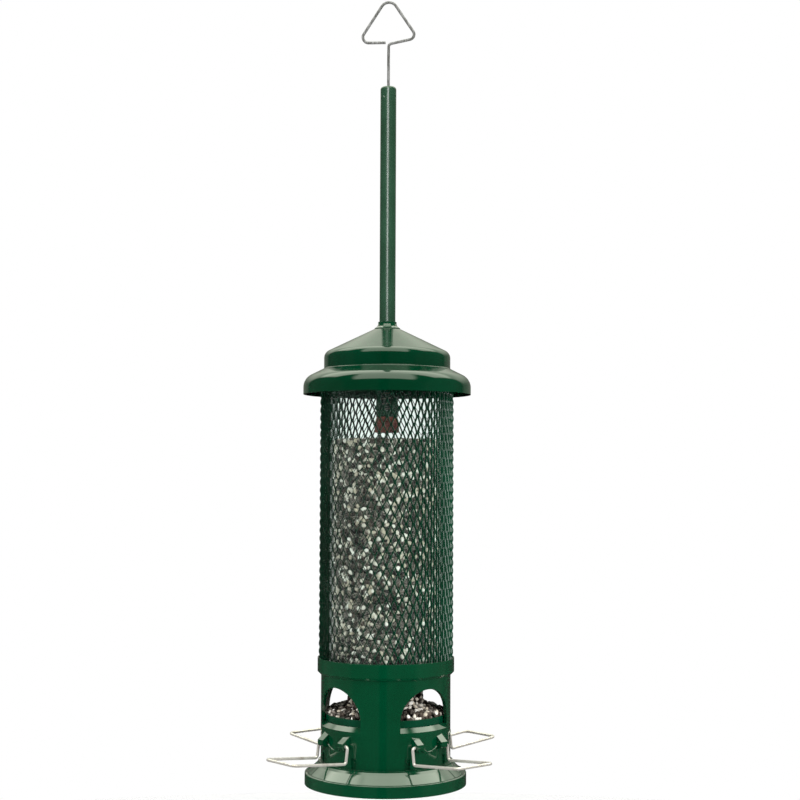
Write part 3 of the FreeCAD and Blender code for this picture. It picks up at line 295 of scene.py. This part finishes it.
def strand_points(index, top, bottom, radius):
    """Middle line of one strand as (angle, height, side): it leans from its left bond to its right one."""
    step = 2 * math.pi / (2 * DIAMONDS_ROUND)
    reach = step / 2 - STRAND_WIDTH / 2 * math.cos(STRAND_TILT) / radius
    row_height = DIAMOND_HEIGHT / 2
    bond = row_height * BOND_SHARE
    rows = math.ceil((top - bottom) / row_height) + 1
    line = []
    for row in range(rows):
        side = 1 if (index + row) % 2 else -1
        middle = top - row * row_height
        for height in (middle + bond / 2, middle - bond / 2):
            line.append((index * step + side * reach, min(max(height, bottom), top), side))
    kept = [line[0]]
    for point in line[1:]:
        if kept[-1][1] - point[1] > LEAST_DROP:
            kept.append(point)
    return kept


def sweep_strand(line, radius):
    """The strand's skin: its section follows the middle line, with its face turned by the cage's tilt."""
    section = strand_section()
    angles, heights, sides = (np.array(values) for values in zip(*line))
    offset = sides * STRAND_WIDTH / 2 * math.sin(STRAND_TILT)
    reach = radius - offset
    middle = np.stack([reach * np.cos(angles), reach * np.sin(angles), heights], axis=1)
    outward = np.stack([np.cos(angles), np.sin(angles), np.zeros_like(angles)], axis=1)
    leftward = np.stack([-np.sin(angles), np.cos(angles), np.zeros_like(angles)], axis=1)
    facing = outward * math.cos(STRAND_TILT) - leftward * math.sin(STRAND_TILT)
    along = np.gradient(middle, axis=0)
    along /= np.linalg.norm(along, axis=1, keepdims=True)
    through = facing - (facing * along).sum(axis=1, keepdims=True) * along
    through /= np.linalg.norm(through, axis=1, keepdims=True)
    across = np.cross(along, through)
    rings = (middle[:, None, :] + across[:, None, :] * section[None, :, :1]
             + through[:, None, :] * section[None, :, 1:])
    return rings.reshape(-1, 3)


def ring_faces(rings, sides, first=0):
    """Quads between successive rings of points, and a face at each end."""
    faces = []
    for ring in range(rings - 1):
        start = first + ring * sides
        for i in range(sides):
            j = (i + 1) % sides
            faces.append((start + i, start + j, start + sides + j, start + sides + i))
    faces.append(tuple(first + i for i in reversed(range(sides))))
    faces.append(tuple(first + (rings - 1) * sides + i for i in range(sides)))
    return faces


def cage_mesh():
    """All the strands, bonded side by side, just inside the CAD cylinder's outside."""
    low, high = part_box("cage_mesh")
    sides = len(strand_section())
    radius = high.x - STRAND_WIDTH * math.sin(STRAND_TILT)
    points = []
    faces = []
    count = 0
    for index in range(2 * DIAMONDS_ROUND):
        line = strand_points(index, high.z, low.z, radius)
        skin = sweep_strand(line, radius)
        faces += ring_faces(len(line), sides, count)
        count += len(skin)
        points.append(skin)
    piece = new_piece("cage_strands", np.concatenate(points), faces, "mesh_paint", "shroud")
    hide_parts("cage_mesh")
    return piece


# Seed

SEED_SIDES = 8
SEED_RINGS = 5
SEED_LEAN = 0.45
WALL_ROW_SHARE = 0.78
SLOPE_ROW_SHARE = 0.8
PALE_SHARE = 0.30
SMALL_SHARE = 0.22
STRIPED_SHARE = 0.6


def seed_shape():
    """A pointed seed of unit length, width and thickness, pointing along X, and which lines are striped."""
    points = [(0.5, 0.0, 0.0)]
    band = [0.0]
    for ring in range(1, SEED_RINGS + 1):
        share = ring / (SEED_RINGS + 1)
        swell = math.sin(math.pi * share ** 0.8) ** 0.75
        for side in range(SEED_SIDES):
            angle = 2 * math.pi * side / SEED_SIDES
            points.append((0.5 - share, swell * math.cos(angle) / 2, swell * math.sin(angle) / 2))
            band.append(float(side % 2))
    points.append((-0.5, 0.0, 0.0))
    band.append(0.0)
    faces = [(0, 1 + i, 1 + (i + 1) % SEED_SIDES) for i in range(SEED_SIDES)]
    for ring in range(SEED_RINGS - 1):
        start = 1 + ring * SEED_SIDES
        for i in range(SEED_SIDES):
            j = (i + 1) % SEED_SIDES
            faces.append((start + i, start + SEED_SIDES + i, start + SEED_SIDES + j, start + j))
    last = 1 + (SEED_RINGS - 1) * SEED_SIDES
    tip = len(points) - 1
    faces += [(tip, last + (i + 1) % SEED_SIDES, last + i) for i in range(SEED_SIDES)]
    return np.array(points), faces, np.array(band)


def scatter_wall(radius, top, bottom, spacing, jitter):
    """Places all over a cylinder, in uneven rows, with the surface's outward direction at each."""
    places = []
    rows = int((top - bottom) / (spacing * WALL_ROW_SHARE))
    for row in range(rows):
        count = int(2 * math.pi * radius / spacing)
        for i in range(count):
            angle = 2 * math.pi * (i + 0.5 * (row % 2) + rng.uniform(-0.3, 0.3)) / count
            height = top - (row + rng.uniform(-0.35, 0.35)) * spacing * WALL_ROW_SHARE
            reach = radius + rng.uniform(-jitter, jitter)
            outward = (math.cos(angle), math.sin(angle), 0.0)
            places.append(((reach * outward[0], reach * outward[1], height), outward))
    return places


def scatter_slope(inner, outer, spacing, lift):
    """Places on a slope or level between two (radius, height) rims, with its upward direction at each."""
    places = []
    run = math.hypot(outer[0] - inner[0], outer[1] - inner[1])
    rows = max(2, int(run / (spacing * SLOPE_ROW_SHARE)))
    tilt = math.atan2(inner[1] - outer[1], outer[0] - inner[0])
    for row in range(rows):
        share = (row + 0.5) / rows
        radius = inner[0] + share * (outer[0] - inner[0])
        count = max(1, int(2 * math.pi * radius / spacing))
        for i in range(count):
            angle = 2 * math.pi * (i + rng.uniform(-0.4, 0.4) + 0.5 * (row % 2)) / count
            height = inner[1] + share * (outer[1] - inner[1]) + rng.uniform(-lift, lift)
            upward = (math.sin(tilt) * math.cos(angle), math.sin(tilt) * math.sin(angle), math.cos(tilt))
            places.append(((radius * math.cos(angle), radius * math.sin(angle), height), upward))
    return places


def seed_frames(places, lean):
    """For each seed a turn that lays it on its flat side against the surface, with some lean."""
    outward = np.array([p[1] for p in places])
    helper = rng.normal(size=outward.shape)
    along = helper - (helper * outward).sum(axis=1, keepdims=True) * outward
    tipped = rng.normal(scale=lean, size=(len(places), 1))
    along += outward * tipped * np.linalg.norm(along, axis=1, keepdims=True)
    along /= np.linalg.norm(along, axis=1, keepdims=True)
    flat = outward - (outward * along).sum(axis=1, keepdims=True) * along
    flat /= np.linalg.norm(flat, axis=1, keepdims=True)
    return np.stack([along, np.cross(flat, along), flat], axis=2)


def seeds(name, slot, places, length, width, thickness, striped):
    """One mesh of many seeds at the given places, each with its own size, turn and tone."""
    shape, shape_faces, shape_band = seed_shape()
    count = len(places)
    scale = np.stack([rng.uniform(*span, count) for span in (length, width, thickness)], axis=1) * MM
    turns = seed_frames(places, SEED_LEAN)
    centres = np.array([p[0] for p in places])
    local = shape[None, :, :] * scale[:, None, :]
    points = np.einsum("nij,nkj->nki", turns, local) + centres[:, None, :]
    size = len(shape)
    faces = [tuple(i * size + v for v in face) for i in range(count) for face in shape_faces]
    piece = new_piece(name, points.reshape(-1, 3), faces, slot, "seed_column")
    tone = np.repeat(rng.uniform(0.0, 1.0, count) ** 1.5, size)
    band = np.tile(shape_band, count) * np.repeat((rng.uniform(size=count) < striped).astype(float), size)
    for attribute, values in (("tone", tone), ("band", band)):
        layer = piece.data.attributes.new(attribute, "FLOAT", "POINT")
        layer.data.foreach_set("value", values.astype(np.float32))
    return piece


def lathe(name, profile, slot, body, sides=96, ripple=0.0):
    """A turned solid from (radius, height) points, first and last on the axis, with a lumpy skin."""
    points = []
    for radius, height in profile:
        for i in range(sides):
            angle = 2 * math.pi * i / sides
            reach = radius + (rng.uniform(-ripple, ripple) if radius > 0 else 0.0)
            points.append((reach * math.cos(angle), reach * math.sin(angle), height))
    return new_piece(name, points, ring_faces(len(profile), sides), slot, body)


def clear_of_pillars(places):
    """Leaves out seeds that would stand in one of the funnel's two pillars, at the front and back."""
    half_width = 10.5 * MM
    inner = 39.5 * MM
    return [(place, outward) for place, outward in places
            if abs(place[0]) > half_width or abs(place[1]) < inner]


def seed_fill():
    """The seed: against the clear wall, its level top, and the slope out of the funnel into the dish."""
    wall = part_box("seed_tube")[1].x - 2.0 * MM
    funnel_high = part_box("seed_funnel")[1]
    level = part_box("adjusting_nut")[0].z - 8.0 * MM
    foot = funnel_high.z - 2.0 * MM
    outlet = funnel_high.z - 21.5 * MM
    heap = [(28.5 * MM, outlet), (31.0 * MM, outlet - 13.5 * MM), (38.0 * MM, outlet - 17.0 * MM),
            (46.8 * MM, outlet - 18.5 * MM), (47.6 * MM, outlet - 23.0 * MM)]
    places = scatter_wall(wall - 2.2 * MM, level, foot, 3.8 * MM, 0.5 * MM)
    places += scatter_wall(wall - 5.2 * MM, level, foot, 4.8 * MM, 1.0 * MM)
    places += scatter_slope((2.0 * MM, level + 1.0 * MM), (wall - 3.0 * MM, level), 4.2 * MM, 1.6 * MM)
    slope = []
    for inner, outer in zip(heap, heap[1:]):
        slope += scatter_slope(inner, outer, 3.6 * MM, 0.8 * MM)
    places += clear_of_pillars(slope)
    order = np.arange(len(places))
    rng.shuffle(order)
    first = int(len(places) * PALE_SHARE)
    second = first + int(len(places) * SMALL_SHARE)
    groups = [[places[i] for i in part] for part in (order[:first], order[first:second], order[second:])]
    seeds("seed_pale", "seed_pale", groups[0],
          length=(4.4, 6.2), width=(3.0, 4.0), thickness=(2.4, 3.2), striped=0.0)
    seeds("seed_small", "seed_dark", groups[1],
          length=(2.8, 4.2), width=(2.3, 3.2), thickness=(2.1, 2.9), striped=0.0)
    seeds("seed_striped", "seed_dark", groups[2],
          length=(5.2, 7.6), width=(3.1, 4.4), thickness=(2.3, 3.2), striped=STRIPED_SHARE)
    # The turned core stands in for the seeds further in, but it has no tone or band attribute, so it takes
    # the darkest seed colour: near-black painted shade that shows in the gaps between the outer seeds.
    core = wall - 7.0 * MM
    core_top = level - 1.5 * MM
    core_inset = 2.4 * MM
    core_sink = 1.0 * MM
    lathe("seed_core_painted_shade", [
        (0.0, core_top),
        (core, core_top),
        (core, foot),
        *((radius - core_inset, height - core_sink) for radius, height in heap),
        (0.0, heap[-1][1] - core_sink),
    ], "seed_dark", "seed_column", ripple=0.8 * MM)


# Closing spring

def closing_spring():
    """The coil in wire, with closed ends, riding on the seed column."""
    low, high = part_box("closing_spring")
    wire = 0.45 * MM
    coil = 7.6 * MM
    turns = 9
    closed = 0.9
    steps = 40 * turns
    sides = 10
    height = high.z - low.z - 2 * wire
    rings = []
    for i in range(steps + 1):
        turn = turns * i / steps
        share = min(max((turn - closed) / (turns - 2 * closed), 0.0), 1.0)
        lift = share * (height - 2 * closed * 2 * wire) + min(turn, closed) * 2 * wire
        lift += max(turn - turns + closed, 0.0) * 2 * wire
        angle = 2 * math.pi * turn
        out = Vector((math.cos(angle), math.sin(angle), 0.0))
        middle = out * coil + Vector((0.0, 0.0, low.z + wire + lift))
        for side in range(sides):
            around = 2 * math.pi * side / sides
            rings.append(middle + (out * math.cos(around) + Vector((0.0, 0.0, math.sin(around)))) * wire)
    piece = new_piece("closing_coil", [tuple(p) for p in rings], ring_faces(steps + 1, sides),
                      "spring_steel", "seed_column")
    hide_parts("closing_spring")
    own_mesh(piece)


# Studio

def floor():
    """A pale round floor well below the feeder, which gloss doesn't mirror."""
    radius = 3.2
    drop = 0.65
    height = cad_low.z - drop
    sides = 64
    points = [(radius * math.cos(2 * math.pi * i / sides), radius * math.sin(2 * math.pi * i / sides), height)
              for i in range(sides)]
    mesh = bpy.data.meshes.new("floor")
    mesh.from_pydata(points, [], [tuple(range(sides))])
    s = Shader("floor_pale")
    s.set(Base_Color=s.mixed(s.noise(3.0), grey(0.86), grey(0.90)), Roughness=0.9)
    mesh.materials.append(s.material)
    piece = bpy.data.objects.new("floor", mesh)
    piece.visible_glossy = False
    bpy.context.scene.collection.objects.link(piece)


def softbox(name, place, target, size, power, only=()):
    """An area light. One meant for certain pieces lights only those, and they mirror it."""
    light = bpy.data.lights.new(name, "AREA")
    light.shape = "RECTANGLE"
    light.size, light.size_y = size
    light.energy = power
    lamp = bpy.data.objects.new(name, light)
    lamp.location = place
    lamp.rotation_mode = "QUATERNION"
    lamp.rotation_quaternion = (Vector(target) - Vector(place)).to_track_quat("-Z", "Y")
    lamp.visible_glossy = bool(only)
    bpy.context.scene.collection.objects.link(lamp)
    if only:
        receivers = bpy.data.collections.new(f"{name}_receivers")
        for piece in only:
            receivers.objects.link(piece)
        lamp.light_linking.receiver_collection = receivers


def studio_world():
    """White to look at; what gloss mirrors is a dark studio with a long overhead bank and a lit back.

    A direction is given by its pitch, in degrees from the front over the top, and by its lean to the side.
    """
    bank_level = 3.5
    back_level = 4.2
    back_level_far = 1.5
    front_level = 0.045
    wings_level = 0.05
    fill_below = 0.55
    gloss_tint = (0.97, 1.0, 0.84, 1.0)
    least_depth = 0.001
    world = bpy.data.worlds.new("studio")
    world.use_nodes = True
    world.cycles.sampling_method = "NONE"
    tree = world.node_tree
    tree.nodes.clear()

    def add(kind, **settings):
        node = tree.nodes.new(kind)
        for key, value in settings.items():
            setattr(node, key, value)
        return node

    def put(socket, value):
        if isinstance(value, bpy.types.NodeSocket):
            tree.links.new(value, socket)
        else:
            socket.default_value = value

    def result_of(operation, *values):
        node = add("ShaderNodeMath", operation=operation)
        for socket, value in zip(node.inputs, values):
            put(socket, value)
        return node.outputs[0]

    def step(value, low, high, to_low=0.0, to_high=1.0):
        node = add("ShaderNodeMapRange", interpolation_type="SMOOTHSTEP")
        for socket, given in zip(node.inputs, (value, low, high, to_low, to_high)):
            put(socket, given)
        return node.outputs[0]

    split = add("ShaderNodeSeparateXYZ")
    put(split.inputs[0], add("ShaderNodeTexCoord").outputs["Generated"])
    x, y, z = split.outputs
    pitch = result_of("MULTIPLY", result_of("ARCTAN2", z, result_of("MULTIPLY", y, -1.0)), 180 / math.pi)
    depth = result_of("SQRT", result_of("ADD", result_of("MULTIPLY", y, y), result_of("MULTIPLY", z, z)))
    side = result_of("DIVIDE", result_of("ABSOLUTE", x), result_of("MAXIMUM", depth, least_depth))
    bank_width = step(pitch, 43.0, 103.0, 0.76, 0.32)
    bank_sides = step(result_of("SUBTRACT", side, bank_width), -0.12, 0.12, 1.0, 0.0)
    bank_ends = result_of("MULTIPLY", step(pitch, 34.0, 42.0), step(pitch, 97.0, 107.0, 1.0, 0.0))
    bank = result_of("MULTIPLY", bank_sides, bank_ends)
    back_edges = result_of("MULTIPLY", step(side, 0.9, 1.3, 1.0, 0.0), step(pitch, 84.0, 92.0))
    back_fall = result_of("MULTIPLY", step(pitch, 120.0, 133.0, back_level, back_level_far),
                          step(pitch, 140.0, 172.0, 1.0, 0.12))
    back = result_of("MULTIPLY", back_edges, back_fall)
    front_gap = step(side, 0.08, 0.14, 0.0, front_level)
    wings = result_of("MULTIPLY", step(side, 1.2, 1.8), wings_level)
    brightest = result_of("MAXIMUM", result_of("MULTIPLY", bank, bank_level), back)
    mirrored = result_of("ADD", brightest, result_of("ADD", front_gap, wings))
    fill = step(z, -1.0, 1.0, fill_below, 1.0)
    paths = add("ShaderNodeLightPath")
    lit = add("ShaderNodeMix", data_type="FLOAT")
    put(lit.inputs[0], paths.outputs["Is Glossy Ray"])
    put(lit.inputs[2], fill)
    put(lit.inputs[3], mirrored)
    seen = add("ShaderNodeMix", data_type="FLOAT")
    put(seen.inputs[0], paths.outputs["Is Camera Ray"])
    put(seen.inputs[2], lit.outputs[0])
    put(seen.inputs[3], 1.0)
    tint = add("ShaderNodeMix", data_type="RGBA")
    put(tint.inputs[0], paths.outputs["Is Glossy Ray"])
    put(tint.inputs[6], grey(1.0))
    put(tint.inputs[7], gloss_tint)
    background = add("ShaderNodeBackground")
    put(background.inputs["Color"], tint.outputs[2])
    put(background.inputs["Strength"], seen.outputs[0])
    output = add("ShaderNodeOutputWorld")
    put(output.inputs["Surface"], background.outputs[0])
    bpy.context.scene.world = world


def camera():
    """The photograph's view: level with the cage's lower part and a little to the right of the front."""
    distance = 1.300
    eye_height = -0.4043
    azimuth = math.radians(4.3)
    pitch = math.radians(2.89)
    roll = math.radians(0.23)
    shift_right = 0.0109
    data = bpy.data.cameras.new("camera")
    data.sensor_width = 36.0
    data.lens = 69.5
    ahead = Vector((-math.sin(azimuth), math.cos(azimuth), 0.0))
    right = Vector((math.cos(azimuth), math.sin(azimuth), 0.0))
    look = ahead * math.cos(pitch) + Vector((0.0, 0.0, math.sin(pitch)))
    turn = look.to_track_quat("-Z", "Y").to_matrix().to_4x4() @ Matrix.Rotation(roll, 4, "Z")
    eye = bpy.data.objects.new("camera", data)
    place = right * shift_right - ahead * distance + Vector((0, 0, eye_height))
    eye.matrix_world = Matrix.Translation(place) @ turn
    bpy.context.scene.collection.objects.link(eye)
    bpy.context.scene.camera = eye


camera()
studio_world()
floor()
paint_frame()
strands = cage_mesh()
closing_spring()
seed_fill()
feeder_middle = (0, 0, -0.4)
cage_middle = (0, 0, -0.45)
tube_middle = (0, 0, -0.2)
softbox("key_right", (1.5, -1.4, 0.3), feeder_middle, (1.2, 1.6), 44)
softbox("fill_left", (-1.7, -1.0, 0.0), feeder_middle, (1.2, 1.6), 22)
softbox("top", (0.0, -0.2, 1.3), feeder_middle, (1.6, 1.6), 30)
softbox("mesh_edge", (1.2, -1.1, -0.2), cage_middle, (1.2, 1.4), 30, [strands])
softbox("tube_line", (0.0, -1.5, 0.45), tube_middle, (0.4, 1.4), 26, [nodes["hanger_tube"]])
bpy.context.scene.view_settings.view_transform = "Standard"
